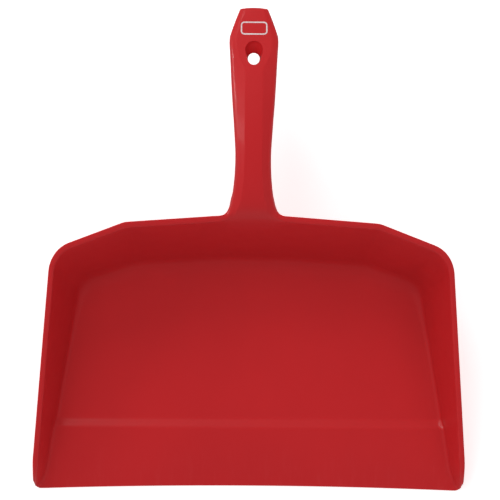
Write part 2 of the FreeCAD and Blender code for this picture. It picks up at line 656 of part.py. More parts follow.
mark_body = doc.addObject("PartDesign::Body", "mark_body")
mark_sketch = add_sketch(mark_body, "mark_frame", "XY_Plane")
mark_place = tilted_place("sizes.badge_y", "sizes.badge_z", "-sizes.badge_deep")
mark_sketch.setExpression("AttachmentOffset", mark_place)
frame_outline(mark_sketch, "sizes.badge_w / 2", "sizes.badge_l / 2", "sizes.badge_corner")
frame_outline(mark_sketch, "sizes.badge_w / 2 - sizes.badge_line", "sizes.badge_l / 2 - sizes.badge_line",
              "sizes.badge_corner - sizes.badge_line")
add_pad(mark_body, mark_sketch, "mark_ink", "sizes.badge_deep + sizes.badge_proud")


# --- the whole moulding, and its division into zones --------------------------------------------------------

under_ramp = combine("Part::Common", "under_ramp", ramp_hollow, hull_inner)
outside = fuse("outside", [trimmed, handle])
moulding = outside
for tool in (rear_cavity, ramp_cavity, under_ramp, core, hanging_hole, throat, mark_body):
    moulding = combine("Part::Cut", "less_" + tool.Name, moulding, tool)
moulding.Label = "moulding"

inner_prism = doc.addObject("PartDesign::Body", "inner_prism")
prism_sketch = outline_sketch(inner_prism, "prism_outline", "0", "sizes.foot_band", "sizes.corner_low")
prism_pad = add_pad(inner_prism, prism_sketch, "prism_pad", "sizes.headroom")
mirrored(inner_prism, prism_pad)


def zone(name, base, x, y):
    """A named piece of a solid: what lies between two X and two Y planes, given as formulas."""
    box = doc.addObject("Part::Box", name + "_zone")
    box.setExpression("Length", f"({x[1]}) - ({x[0]})")
    box.setExpression("Width", f"({y[1]}) - ({y[0]})")
    box.setExpression("Height", "sizes.headroom")
    box.setExpression("Placement.Base.x", x[0])
    box.setExpression("Placement.Base.y", y[0])
    piece = combine("Part::Common", name, base, box)
    piece.Label = name
    return piece


bed = combine("Part::Common", "bed", moulding, inner_prism)
ring = combine("Part::Cut", "ring", moulding, inner_prism)
FAR = "sizes.span"
WIDE, LEFT, RIGHT = (f"-{FAR}", FAR), (f"-{FAR}", "0"), ("0", FAR)
HANDLE = ("-sizes.reach", "sizes.reach")
zones = [
    zone("front_lip", bed, WIDE, (f"-{FAR}", "sizes.lip_zone")),
    zone("entry_ramp", bed, WIDE, ("sizes.lip_zone", "sizes.ramp_zone")),
    zone("retaining_ridge", bed, WIDE, ("sizes.ramp_zone", "sizes.ridge_zone")),
    zone("tray_floor", bed, WIDE, ("sizes.ridge_zone", FAR)),
    zone("left_wall", ring, LEFT, (f"-{FAR}", "sizes.corner_zone")),
    zone("right_wall", ring, RIGHT, (f"-{FAR}", "sizes.corner_zone")),
    zone("left_rear_corner", ring, (f"-{FAR}", "-sizes.back_zone"), ("sizes.corner_zone", FAR)),
    zone("right_rear_corner", ring, ("sizes.back_zone", FAR), ("sizes.corner_zone", FAR)),
    zone("back_wall", ring, ("-sizes.back_zone", "sizes.back_zone"),
         ("sizes.corner_zone", "sizes.neck_zone")),
    zone("handle_neck", ring, HANDLE, ("sizes.neck_zone", "sizes.grip_zone")),
    zone("handle_grip", ring, HANDLE, ("sizes.grip_zone", "sizes.eye_zone")),
    zone("hanging_eye", ring, HANDLE, ("sizes.eye_zone", FAR)),
]
mark = doc.addObject("Part::Compound", "printed_mark")
mark.Links = [mark_body]
mark.Label = "printed_mark"
zones.append(mark)
doc.recompute()

for item in doc.Objects:
    if "Invalid" in item.State or "Error" in item.State:
        raise RuntimeError(f"{item.Label}: {item.getStatusString()}")

os.makedirs("parts", exist_ok=True)
for piece in zones:
    shape = piece.Shape
    if shape.isNull() or not shape.isValid() or len(shape.Solids) != 1:
        raise RuntimeError(f"{piece.Label}: bad shape, {len(shape.Solids)} solids")
    shape.exportStep(f"parts/{piece.Label}.step")
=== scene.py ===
"""Red dust pan on a pale floor, seen from above. Blender 4.5; shapes are worked out in millimetres."""
import bmesh
import bpy
import math
import numpy as np
from mathutils import Matrix, Vector


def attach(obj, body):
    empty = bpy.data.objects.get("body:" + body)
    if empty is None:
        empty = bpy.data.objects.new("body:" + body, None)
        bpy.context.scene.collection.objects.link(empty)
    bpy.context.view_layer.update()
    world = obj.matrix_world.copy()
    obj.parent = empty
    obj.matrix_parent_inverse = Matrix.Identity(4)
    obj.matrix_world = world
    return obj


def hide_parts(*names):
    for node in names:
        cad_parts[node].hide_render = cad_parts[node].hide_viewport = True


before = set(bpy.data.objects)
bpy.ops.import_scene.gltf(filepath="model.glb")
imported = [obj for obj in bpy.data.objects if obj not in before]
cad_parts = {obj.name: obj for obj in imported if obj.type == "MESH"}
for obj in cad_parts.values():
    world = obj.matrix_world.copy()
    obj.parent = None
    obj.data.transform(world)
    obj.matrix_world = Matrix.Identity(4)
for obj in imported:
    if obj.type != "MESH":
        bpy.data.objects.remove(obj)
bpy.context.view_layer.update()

MM = 0.001


def tan(degrees):
    return math.tan(math.radians(degrees))


def smooth(t):
    """Eases from 0 to 1."""
    t = np.clip(t, 0.0, 1.0)
    return t * t * (3 - 2 * t)


# --- tray: plan of the wall at any height -------------------------------------------------------------------

SIDE_DRAFT, BACK_DRAFT = 14.6, 20.5
BACK, FACET, SIDE = (math.radians(a) for a in (3.75, 18.7, 80.1))    # wall normals, from +Y towards +X
SIDE_OFFSET = 113.1
BACK_Y, FLAT_HALF, KINK_X = -4.3, 24.0, 78.9
KINK_Y = BACK_Y - (KINK_X - FLAT_HALF) * math.tan(BACK)
BACK_OFFSET = FLAT_HALF * math.sin(BACK) + BACK_Y * math.cos(BACK)
FACET_OFFSET = KINK_X * math.sin(FACET) + KINK_Y * math.cos(FACET)
CORNER_LOW, CORNER_GROWTH, KINK_RADIUS = 20.0, 3.5 / 96.0, 18.0
FLARE_Y, FLARE_RADIUS = -144.0, 50.0
WALL, FLOOR = 3.6, 2.8
BED_INSET, BED_ROUND = 20.0, 10.0

ROOT_X = 24.5           # the rim leaves the back wall here and turns into the handle
FRONT_Y = np.array([-164.0, -162.3, -161.0, -159.0, -156.5, -153.0, -149.5, -146.0, -142.5, -139.0, -135.0,
                    -130.5, -126.5, -123.5, -122.2, -121.7, -121.2, -120.6, -118.9, -117.1, -116.6, -116.1,
                    -115.5, -114.0, -111.0])
SIDE_STEPS, CORNER_STEPS, FACET_STEPS, KINK_STEPS, BACK_STEPS = 16, 12, 5, 4, 8
ROOT_COLUMNS = np.array([1.0, 0.93, 0.86, 0.79, 0.73, 0.67, 0.6, 0.5, 0.4, 0.3, 0.2, 0.1, 0.0]) * ROOT_X


def meet(a, p, b, q):
    """Crossing of two plan lines, each given by its normal's angle and its distance from the origin."""
    det = math.sin(a - b)
    return (p * math.cos(b) - q * math.cos(a)) / det, (q * math.sin(a) - p * math.sin(b)) / det


def arc_points(a, p, b, q, radius, shares):
    """Points of the round between two lines; share 0 lies on the first line, share 1 on the second."""
    x, y = meet(a, p, b, q)
    back = radius / math.cos((b - a) / 2)
    middle, turn = (a + b) / 2, a + (b - a) * shares
    return (x - back * math.sin(middle) + radius * np.sin(turn),
            y - back * math.cos(middle) + radius * np.cos(turn))


def side_x(y, flank):
    """X of the side wall at a y, with its outward sweep near the lip."""
    lean = math.pi / 2 - SIDE
    offset = SIDE_OFFSET + flank
    straight = (offset - y * math.sin(lean)) / math.cos(lean)
    start_x = (offset - FLARE_Y * math.sin(lean)) / math.cos(lean)
    centre_x = start_x + FLARE_RADIUS * math.cos(lean)
    centre_y = FLARE_Y + FLARE_RADIUS * math.sin(lean)
    swept = centre_x - np.sqrt(np.maximum(FLARE_RADIUS ** 2 - (y - centre_y) ** 2, 0.0))
    return np.where(y < FLARE_Y, swept, straight)


def shares(steps, first=1):
    """Even shares from 0 to 1 without the ones before number first."""
    return np.arange(first, steps + 1) / steps


GROUP_SIZES = [len(FRONT_Y), SIDE_STEPS, CORNER_STEPS, FACET_STEPS, KINK_STEPS, BACK_STEPS,
               len(ROOT_COLUMNS) - 1]
GROUP_ENDS = np.cumsum(GROUP_SIZES)
COLUMNS = int(GROUP_ENDS[-1])
BED_CORNER = int(GROUP_ENDS[1]) + CORNER_STEPS // 2     # the column in the middle of the rear corner
ROOT = int(GROUP_ENDS[5]) - 1                           # the column where the handle's root begins
CHUNKS = [slice(int(end) - size, int(end)) for end, size in zip(GROUP_ENDS, GROUP_SIZES)]


def outline(z, inset, corner=None):
    """(x, y) of each column of the right half, front to back, at heights z and level insets from the skin."""
    z, inset = np.broadcast_to(z, COLUMNS).astype(float), np.broadcast_to(inset, COLUMNS).astype(float)
    rear, flank = z * tan(BACK_DRAFT) - inset, z * tan(SIDE_DRAFT) - inset
    radius = CORNER_LOW + CORNER_GROWTH * z - inset if corner is None else corner + 0 * z
    x, y = np.zeros(COLUMNS), np.zeros(COLUMNS)
    front, side, rear_corner, facet, kink, back, root = CHUNKS
    y[front] = FRONT_Y
    x[front] = side_x(FRONT_Y, flank[front])

    def corner_arc(part, t):
        return arc_points(FACET, FACET_OFFSET + rear[part], SIDE, SIDE_OFFSET + flank[part], radius[part], t)

    def kink_arc(part, t):
        return arc_points(BACK, BACK_OFFSET + rear[part], FACET, FACET_OFFSET + rear[part], KINK_RADIUS, t)

    t = shares(SIDE_STEPS)
    _, end_y = corner_arc(side, 1.0)
    y[side] = FRONT_Y[-1] + (end_y - FRONT_Y[-1]) * t
    x[side] = side_x(y[side], flank[side])
    x[rear_corner], y[rear_corner] = corner_arc(rear_corner, 1 - shares(CORNER_STEPS))
    t = shares(FACET_STEPS)
    (x0, y0), (x1, y1) = corner_arc(facet, 0.0), kink_arc(facet, 1.0)
    x[facet], y[facet] = x0 + (x1 - x0) * t, y0 + (y1 - y0) * t
    x[kink], y[kink] = kink_arc(kink, 1 - shares(KINK_STEPS))
    t = shares(BACK_STEPS)
    x0, _ = kink_arc(back, 0.0)
    x[back] = x0 + (ROOT_X - x0) * t
    y[back] = (BACK_OFFSET + rear[back] - x[back] * math.sin(BACK)) / math.cos(BACK)
    x[root] = ROOT_COLUMNS[1:]
    slanted = (BACK_OFFSET + rear[root] - x[root] * math.sin(BACK)) / math.cos(BACK)
    y[root] = np.minimum(BACK_Y + rear[root], slanted)
    return x, y


# --- tray: side view of rim, lip, ramp ----------------------------------------------------------------------

RIM_Y, RIM_Z, RIM_ANGLE = 27.0, 84.0, 18.0
CHEEK_Y, CHEEK_RADIUS = -141.0, 35.0
CHEEK_CENTRE_Y = CHEEK_Y + CHEEK_RADIUS * math.sin(math.radians(RIM_ANGLE))
CHEEK_CENTRE_Z = (RIM_Z - (RIM_Y - CHEEK_Y) * tan(RIM_ANGLE)
                  - CHEEK_RADIUS * math.cos(math.radians(RIM_ANGLE)))
LIP_Y, LIP_HOLLOW, LIP_HALF, LIP_CORNER, LIP_EDGE = -165.0, 2.7, 147.2, 5.0, 0.9
LIP_ROUND, RIM_ROUND = 0.35, 1.0
RIDGE_Y, RIDGE_Z, STEP_Y, RAMP_BOW, RAMP_SKIN, RAMP_LAND = -121.5, 5.6, -116.3, 1.0, 2.6, -148.0
EDGE_SOFTNESS = 1.0


def rim_height(y, drop=0.0):
    """Height of the rim at y, or of a line that runs that far inside it."""
    slope = RIM_Z - (RIM_Y - y) * tan(RIM_ANGLE) - drop / math.cos(math.radians(RIM_ANGLE))
    reach = (CHEEK_RADIUS - drop) ** 2 - (y - CHEEK_CENTRE_Y) ** 2
    round_off = CHEEK_CENTRE_Z + np.sqrt(np.maximum(reach, 0.0))
    tangent_y = CHEEK_CENTRE_Y - (CHEEK_RADIUS - drop) * math.sin(math.radians(RIM_ANGLE))
    return np.where(y < tangent_y, round_off, slope)


def lip_front(x):
    """Y of the lip's front edge: a shallow hollow between two rounded corners."""
    x = np.abs(x)
    half = LIP_HALF - LIP_CORNER
    radius = (half ** 2 + LIP_HOLLOW ** 2) / (2 * LIP_HOLLOW)
    hollow = LIP_Y + LIP_HOLLOW - (radius - np.sqrt(radius ** 2 - np.minimum(x, half) ** 2))
    over = np.clip(x - half, 0.0, LIP_CORNER)
    return np.where(x < half, hollow, LIP_Y + LIP_CORNER - np.sqrt(LIP_CORNER ** 2 - over ** 2))


def softened(profile, y):
    """The profile with its edges rounded off a little."""
    steps = np.linspace(-EDGE_SOFTNESS, EDGE_SOFTNESS, 9)
    return np.mean([profile(y + step) for step in steps], axis=0)


def sharp_top(y):
    along = np.clip((y - LIP_Y) / (RIDGE_Y - LIP_Y), 0.0, 1.0)
    ramp = LIP_EDGE + (RIDGE_Z - LIP_EDGE) * along + 4 * RAMP_BOW * along * (1 - along)
    step = RIDGE_Z + (FLOOR - RIDGE_Z) * np.clip((y - RIDGE_Y) / (STEP_Y - RIDGE_Y), 0.0, 1.0)
    return np.where(y < RIDGE_Y, ramp, step)


def sharp_underside(y):
    return np.interp(y, [RAMP_LAND, RIDGE_Y - 2.5, RIDGE_Y - 1.1, STEP_Y - 1.1],
                     [0.0, RIDGE_Z - RAMP_SKIN, RIDGE_Z - RAMP_SKIN, 0.0])


def floor_top(y):
    return softened(sharp_top, y)


def floor_underside(y):
    return softened(sharp_underside, y)


# --- tray: the two sheets of the wall zone, columns x rows --------------------------------------------------

WALL_ROWS, FOOT_ROWS, FLOOR_ROWS = 9, 7, 3
ROWS = WALL_ROWS + FOOT_ROWS + FLOOR_ROWS + 1
FOOT_SIDE, FOOT_CORNER, FOOT_BACK, FOOT_SKIN = 3.5, 9.0, 16.0, 2.8
FOOT_CURVE = 5          # the foot widens late along the side, as this power of the way
LIP_TOP = 5.0           # the rim's line ends this high above the ground and turns into the lip
LIP_COLUMNS, LIP_GAP = 6, 0.35      # columns next to the lip, and how far each stays behind the one before


def across_columns(side_value, back_value):
    """A value that changes from the side's to the back's along the rear corner."""
    index = np.arange(COLUMNS)
    start, end = CHUNKS[2].start, CHUNKS[2].stop
    return side_value + (back_value - side_value) * smooth((index - start) / (end - start))


def foot_radii():
    """Radius of the foot at each column: small at the lip, growing along the side, wide at the back."""
    _, y = outline(FLOOR, WALL)
    corner = CHUNKS[2].start
    along = np.clip((y - STEP_Y) / (y[corner] - STEP_Y), 0.0, 1.0)
    return np.where(np.arange(COLUMNS) < corner, FOOT_SIDE + (FOOT_CORNER - FOOT_SIDE) * along ** FOOT_CURVE,
                    across_columns(FOOT_CORNER, FOOT_BACK))


def top_of_wall(inset, drop):
    """Height at which each column of a wall face comes within drop of the rim."""
    z = np.full(COLUMNS, 60.0)
    for _ in range(40):
        _, y = outline(z, inset)
        z = rim_height(y, drop)
    return z


def wall_sheet(inset, foot, ground, root_top):
    """Rows of points from the rim down the wall, round the foot and over the floor to the bed's edge."""
    draft = np.radians(across_columns(SIDE_DRAFT, BACK_DRAFT))
    _, level_y = outline(FLOOR, inset)
    base = ground(level_y)
    foot_z = base + foot
    foot_in = inset - foot_z * np.tan(draft) + foot / np.cos(draft)
    top = top_of_wall(inset, RIM_ROUND)
    top[0] = LIP_TOP
    top[ROOT + 1:] = root_top(ROOT_COLUMNS[1:] / ROOT_X, top[ROOT])
    tangent = foot_z - foot * np.sin(draft)
    rows = []
    for j in range(WALL_ROWS):
        z = top + (np.minimum(tangent, top - 0.3) - top) * j / WALL_ROWS
        rows.append((z, inset + 0 * z))
    for j in range(FOOT_ROWS + 1):
        angle = draft + (math.pi / 2 - draft) * j / FOOT_ROWS
        z = foot_z - foot * np.sin(angle)
        rows.append((z, foot_in - foot * np.cos(angle) + z * np.tan(draft)))
    sheet = np.array([np.stack([*outline(z, d), z], axis=-1) for z, d in rows])
    bed_x, bed_y = outline(0.0, BED_INSET, BED_ROUND)
    edge = np.stack([bed_x, bed_y, ground(bed_y)], axis=-1)
    for j in range(1, FLOOR_ROWS + 1):
        row = sheet[WALL_ROWS + FOOT_ROWS] * (1 - j / FLOOR_ROWS) + edge * (j / FLOOR_ROWS)
        row[:, 2] = ground(row[:, 1])
        sheet = np.concatenate([sheet, row[None]])
    return front_column(sheet)


def front_column(sheet):
    """Puts the first column on the lip's edge and keeps the others behind it."""
    z = sheet[:, 0, 2]
    inside = LIP_ROUND + (RIM_ROUND - LIP_ROUND) * smooth((z - LIP_EDGE) / (LIP_TOP - LIP_EDGE))
    reach = np.maximum((CHEEK_RADIUS - inside) ** 2 - (z - CHEEK_CENTRE_Z) ** 2, 0.0)
    cheek = CHEEK_CENTRE_Y - np.sqrt(reach)
    sheet[:, :, 0] = np.minimum(sheet[:, :, 0], LIP_HALF)
    sheet[:, 0, 1] = np.maximum(lip_front(sheet[:, 0, 0]) + inside, cheek)
    for i in range(1, LIP_COLUMNS):
        sheet[:, i, 1] = np.maximum(sheet[:, i, 1], sheet[:, i - 1, 1] + LIP_GAP)
    return sheet


def inner_ground(y):
    return floor_top(y)


def outer_ground(y):
    return 0 * y


# --- handle: sections that run on from the wall -------------------------------------------------------------

# y and z of the top, lean of the section, half width, depth, half width of the top facet, drop of its bevels
SECTIONS = [
    (31.5, 87.9, 30.0, 14.9, 18.4, 10.0, 2.2), (38.0, 92.0, 22.0, 13.6, 21.2, 7.8, 2.9),
    (49.0, 96.1, 15.0, 12.4, 22.6, 6.4, 3.1), (65.0, 99.0, 7.0, 11.8, 23.2, 5.8, 3.0),
    (84.0, 99.9, -1.0, 12.7, 23.8, 5.8, 3.1), (106.0, 98.3, -8.0, 14.2, 23.4, 5.8, 3.2),
    (119.0, 95.7, -13.0, 14.9, 22.6, 5.8, 3.1), (125.0, 94.3, -14.8, 15.2, 22.2, 6.2, 2.9),
    (131.0, 92.6, -16.0, 15.5, 21.6, 9.6, 1.8), (138.0, 90.6, -16.8, 15.9, 20.8, 11.4, 1.2),
    (143.5, 88.95, -16.8, 16.2, 20.2, 11.9, 1.1), (146.5, 88.05, -16.8, 16.0, 20.0, 11.7, 1.1),
    (150.0, 87.0, -16.8, 14.9, 19.6, 10.6, 1.1), (155.0, 85.5, -16.8, 13.1, 19.2, 8.9, 1.0),
    (160.0, 84.0, -16.8, 11.2, 18.8, 7.2, 1.0), (163.0, 83.1, -16.8, 9.9, 18.6, 6.0, 1.0),
]
STRANDS = len(ROOT_COLUMNS)
CROWN = 0.06            # how much lower the top facet's edges lie than its middle
EDGE_WIDTH = 1.3        # width of the round between a bevel and the side
# shares of a section's depth: the side's tuck under the shoulder, the underside's corner, the side's slope
TUCK, LOWER_ACROSS, LOWER_DOWN, SIDE_SLOPE = 0.05, 0.33, 0.3, 0.03
TOP_SHARES = np.array([0.0, 0.18, 0.36, 0.54, 0.72, 0.88, 0.965])    # of the facet, centre outwards
BEVEL_SHARES = np.array([0.0, 0.07, 0.25, 0.5, 0.75, 1.0])          # of the bevel beyond it
TOP_INNER_Z, UNDER_INNER_Z = 62.0, 50.0     # where the handle's middle leaves the wall, inside and outside
ROOT_CURVE = 2.6        # how late the root's line climbs from there to the rim
TOP_PULL, UNDER_PULL = (14.0, 13.0), (20.0, 17.0)   # of the strands at the root: up the wall, along the rim
ROOT_TENSION, ROOT_RINGS, RING_STEP = 1.15, 9, 2.6


def section_points(section):
    """Strand points of one section: top centre to edge, two edge controls, edge to underside centre."""
    y, z, lean, half, depth, facet, bevel = section
    lean = math.radians(lean)
    shoulder = half - TUCK * depth
    edge = shoulder - EDGE_WIDTH
    slope = bevel / (shoulder - facet)
    top_x = np.concatenate([TOP_SHARES * facet, facet + BEVEL_SHARES * (edge - facet)])
    top_drop = np.maximum(top_x - facet, 0.0) * slope + CROWN * np.minimum(top_x / facet, 1.0) ** 2
    lower, corner = LOWER_ACROSS * depth, LOWER_DOWN * depth
    turn = np.radians(np.linspace(90, 3, 6))
    arc_x = half - lower + (lower - SIDE_SLOPE * depth) * np.cos(turn)
    arc_drop = depth - corner + corner * np.sin(turn)
    side_drop = np.linspace(depth - corner, bevel + 0.24 * depth, 4)[1:]
    side_x = half - SIDE_SLOPE * depth * (side_drop - side_drop[-1]) / (depth - corner - side_drop[-1])
    under_x = np.concatenate([np.linspace(0, half - lower, 5)[:-1], arc_x, side_x])
    under_drop = np.concatenate([np.full(4, depth), arc_drop, side_drop])
    controls_x = [shoulder + 0.25, half + 0.05]
    controls_drop = [bevel + 0.25, bevel + 0.1 * depth]
    across = np.concatenate([top_x, controls_x, under_x[::-1]])
    drop = np.concatenate([top_drop, controls_drop, under_drop[::-1]])
    return np.stack([across, y + drop * math.sin(lean), z - drop * math.cos(lean)], axis=-1)


def root_height(middle):
    """Makes the line on the wall from which the handle's strands start: low in the middle, up at the rim."""
    def height(share, rim):
        return middle + (rim - middle) * share ** ROOT_CURVE
    return height


inner = wall_sheet(WALL, foot_radii(), inner_ground, root_height(TOP_INNER_Z))
outer = wall_sheet(0.0, foot_radii() + FOOT_SKIN, outer_ground, root_height(UNDER_INNER_Z))
for j in range(WALL_ROWS + FOOT_ROWS + 1, ROWS):
    outer[j, :, 2] = floor_underside(outer[j, :, 1])


def rim_controls(sheet, inset):
    """Points on the rim's edge itself, one for each column, just past the end of a wall face."""
    z = top_of_wall(inset, 0.0)
    x, y = outline(z, inset)
    edge = np.stack([x, y, z], axis=-1)
    front = CHUNKS[0]
    away = sheet[0, front, 1:] - np.array([CHEEK_CENTRE_Y, CHEEK_CENTRE_Z])
    away /= np.linalg.norm(away, axis=-1, keepdims=True)
    slope = np.array([-math.sin(math.radians(RIM_ANGLE)), math.cos(math.radians(RIM_ANGLE))])
    on_cheek = (sheet[0, front, 1] < CHEEK_Y)[:, None]
    away = np.where(on_cheek, away, slope)
    moved = sheet[0, front, 1:] + RIM_ROUND * away
    lean = (z[front] * 0 + RIM_ROUND * away[:, 1]) * tan(SIDE_DRAFT)
    edge[front] = np.column_stack([sheet[0, front, 0] + lean, moved])
    edge[:, 0] = np.minimum(edge[:, 0], LIP_HALF)
    edge[:, 1] = np.maximum(edge[:, 1], np.where(edge[:, 1] < -150, lip_front(edge[:, 0]), edge[:, 1]))
    return edge


inner_edge, outer_edge = rim_controls(inner, WALL), rim_controls(outer, 0.0)


def root_ring():
    """The first ring of handle strands, lying on the wall's two faces."""
    top, under = inner[0, ROOT:][::-1], outer[0, ROOT:]
    return np.concatenate([top, inner_edge[ROOT][None], outer_edge[ROOT][None], under])


def root_tangents():
    """Directions in which the strands leave the wall: up it in the middle, along the rim at the edge."""
    share = ROOT_COLUMNS[::-1] / ROOT_X
    weight = smooth((share - 0.45) / 0.55)[:, None]
    up_wall = np.array([0.0, tan(BACK_DRAFT), 1.0])
    along = np.array([-1.0, 0.05, 0.05]) * TOP_PULL[1]
    top = up_wall * TOP_PULL[0] * (1 - weight) + along * weight
    inward = np.array([-1.0, 0.05, 0.3]) * UNDER_PULL[1]
    under = (up_wall * UNDER_PULL[0] * (1 - weight) + inward * weight)[::-1]
    return np.concatenate([top, [along, along], under])


def handle_rings():
    """Rings of strand points from the wall to the handle's end, by a smooth curve through the sections."""
    keys = [root_ring()] + [section_points(section) for section in SECTIONS]
    path = [np.mean(np.linalg.norm(b - a, axis=-1)) for a, b in zip(keys, keys[1:])]
    slopes = []
    for k, key in enumerate(keys):
        if k == 0:
            slopes.append(root_tangents() / path[0] * ROOT_TENSION)
        elif k == len(keys) - 1:
            slopes.append((key - keys[k - 1]) / path[k - 1])
        else:
            before, after = path[k - 1], path[k]
            slopes.append(((key - keys[k - 1]) / before * after + (keys[k + 1] - key) / after * before)
                          / (before + after))
    rings = [keys[0]]
    for k, span in enumerate(path):
        count = ROOT_RINGS if k == 0 else max(1, round(span / RING_STEP))
        for t in np.arange(1, count + 1) / count:
            h00, h10 = 2 * t ** 3 - 3 * t ** 2 + 1, t ** 3 - 2 * t ** 2 + t
            h01, h11 = -2 * t ** 3 + 3 * t ** 2, t ** 3 - t ** 2
            rings.append(keys[k] * h00 + slopes[k] * (h10 * span)
                         + keys[k + 1] * h01 + slopes[k + 1] * (h11 * span))
    return np.array(rings)


rings = handle_rings()
HANDLE_END, END_BOW, END_HALF = 165.0, 1.0, 9.3
END_ROUND = 0.3                         # how far the end's edges are pulled towards each other
END_CORNER = (-0.3, 0.9, 0.0)           # pull of the end's two corners

# --- strips that close the edge between the two sheets ------------------------------------------------------

STRIP = np.array([0.0, 0.12, 0.25, 0.38, 0.5, 0.62, 0.75, 0.88, 1.0])
BLEND = np.array([(1 - STRIP) ** 5, 5 * STRIP * (1 - STRIP) ** 4 + 10 * STRIP ** 2 * (1 - STRIP) ** 3,
                  10 * STRIP ** 3 * (1 - STRIP) ** 2 + 5 * STRIP ** 4 * (1 - STRIP), STRIP ** 5])


def strip(stations):
    """Stations x rows of points over an edge; each station has a start, two pulls and an end."""
    return np.einsum("kr,skc->src", BLEND, np.array(stations))


def edge_stations():
    """Edge of the wall zone from the lip round the rim and the handle to the middle of the handle's end."""
    stations = []
    for j in range(ROWS - 1, 0, -1):
        stations.append(lip_station(inner[j, 0], outer[j, 0]))
    for i in range(ROOT + 1):
        stations.append([inner[0, i], inner_edge[i], outer_edge[i], outer[0, i]])
    top, under = rings[:, STRANDS - 1], rings[:, STRANDS + 2]
    for m in range(1, len(rings)):
        stations.append([top[m], rings[m, STRANDS], rings[m, STRANDS + 1], under[m]])
    last = rings[-1]
    stations[-1] = [last[STRANDS - 1], last[STRANDS] + END_CORNER, last[STRANDS + 1] + END_CORNER,
                    last[STRANDS + 2]]
    for s in range(STRANDS - 2, -1, -1):
        a, b = last[s], last[2 * STRANDS + 1 - s]
        end = HANDLE_END - END_BOW * (a[0] / END_HALF) ** 2
        end_low = HANDLE_END - END_BOW * (b[0] / END_HALF) ** 2
        stations.append([a, np.array([a[0], end, a[2] - END_ROUND]),
                         np.array([b[0], end_low, b[2] + END_ROUND]), b])
    return stations


def lip_station(a, b):
    """Over the scraping edge, from the floor's top to its underside."""
    return [a, np.array([a[0], lip_front(a[0]), a[2]]), np.array([b[0], lip_front(b[0]), b[2]]), b]


# --- bed of the tray ----------------------------------------------------------------------------------------

LIP_FADE = 9.0          # the lip's hollow dies out over this distance behind the edge


def bed_sheet(sheet, ground):
    """Rows from the lip to the back, columns from the side to the middle, fitted to a wall sheet's edge."""
    side, back = sheet[ROWS - 1, :BED_CORNER + 1], sheet[ROWS - 1, BED_CORNER:]
    even = np.arange(len(back)) / (len(back) - 1)
    level = FRONT_Y[-1]
    rows = []
    for i, start in enumerate(side):
        rear = max(0.0, (start[1] - level) / (side[-1, 1] - level))
        across = (1 - rear) * even + rear * (1 - back[:, 0] / back[0, 0])
        x = start[0] * (1 - across)
        front = max(0.0, 1 - (start[1] - side[0, 1]) / LIP_FADE)
        y = start[1] + rear ** 2 * (back[:, 1] - back[0, 1]) + front * (lip_front(x) - lip_front(start[0]))
        rows.append(np.stack([x, y, ground(y)], axis=-1))
    return np.array(rows)


bed_top, bed_under = bed_sheet(inner, floor_top), bed_sheet(outer, floor_underside)


# --- meshes -------------------------------------------------------------------------------------------------

def merged(patches):
    """One closed bmesh of the patches and their mirror images. Each patch is a grid of points."""
    points, faces = [], []
    for grid in patches:
        for mirror in (1, -1):
            rows, cols = grid.shape[:2]
            base = len(points)
            points.extend((grid * (mirror, 1, 1)).reshape(-1, 3) * MM)
            for r in range(rows - 1):
                for c in range(cols - 1):
                    a = base + r * cols + c
                    faces.append((a, a + 1, a + cols + 1, a + cols)[::mirror])
    mesh = bpy.data.meshes.new("shell")
    mesh.from_pydata([tuple(p) for p in points], [], faces)
    work = bmesh.new()
    work.from_mesh(mesh)
    bpy.data.meshes.remove(mesh)
    bmesh.ops.remove_doubles(work, verts=work.verts, dist=2e-6)
    bmesh.ops.dissolve_degenerate(work, dist=1e-6, edges=work.edges)
    bmesh.ops.holes_fill(work, edges=[e for e in work.edges if len(e.link_faces) == 1], sides=0)
    bmesh.ops.recalc_face_normals(work, faces=work.faces)
    return work


def ring_shell():
    border = np.stack([inner[ROWS - 1], outer[ROWS - 1]])
    return merged([inner, outer, strip(edge_stations()), border, rings[:, :STRANDS], rings[:, STRANDS + 2:]])


def bed_shell():
    front = [lip_station(a, b) for a, b in zip(bed_top[0], bed_under[0])]
    side = np.stack([bed_top[:, 0], bed_under[:, 0]])
    back = np.stack([bed_top[-1], bed_under[-1]])
    return merged([bed_top, bed_under, strip(front), side, back])


# --- hanging hole -------------------------------------------------------------------------------------------

END_TILT, HOLE_Y, HOLE_Z = math.radians(16.8), 130.9, 92.74
# lift above the handle's face, radius of the inner and outer round, distance between their centres
HOLE_LEVELS = [(2.2, 5.9, 7.6, 6.6), (0.7, 4.9, 6.5, 6.6), (0.12, 4.35, 5.95, 6.6), (-0.3, 4.15, 5.75, 6.6),
               (-0.9, 4.05, 5.6, 6.4), (-2.8, 4.0, 5.1, 4.8), (-5.0, 3.97, 4.6, 2.6), (-6.6, 3.96, 4.2, 1.0),
               (-7.5, 3.95, 3.97, 0.3), (-10.5, 3.95, 3.96, 0.1), (-13.5, 3.95, 3.97, 0.3),
               (-16.5, 4.2, 4.4, 0.8), (-20.0, 4.6, 5.1, 1.5), (-21.2, 4.8, 5.4, 1.8),
               (-22.2, 5.3, 5.9, 2.0), (-24.5, 7.0, 7.7, 2.2)]


def egg(level):
    """One closed row of the hole's wall."""
    lift, low, high, shift = level
    lean = math.asin(min(1.0, (high - low) / shift))
    far = np.linspace(-lean, math.pi + lean, 27)
    close = np.linspace(math.pi + lean, 2 * math.pi - lean, 23)
    across = np.concatenate([high * np.cos(far), low * np.cos(close)])
    along = np.concatenate([shift + high * np.sin(far), low * np.sin(close)])
    return np.stack([across, HOLE_Y + along * math.cos(END_TILT),
                     HOLE_Z - along * math.sin(END_TILT) + lift], axis=-1) * MM


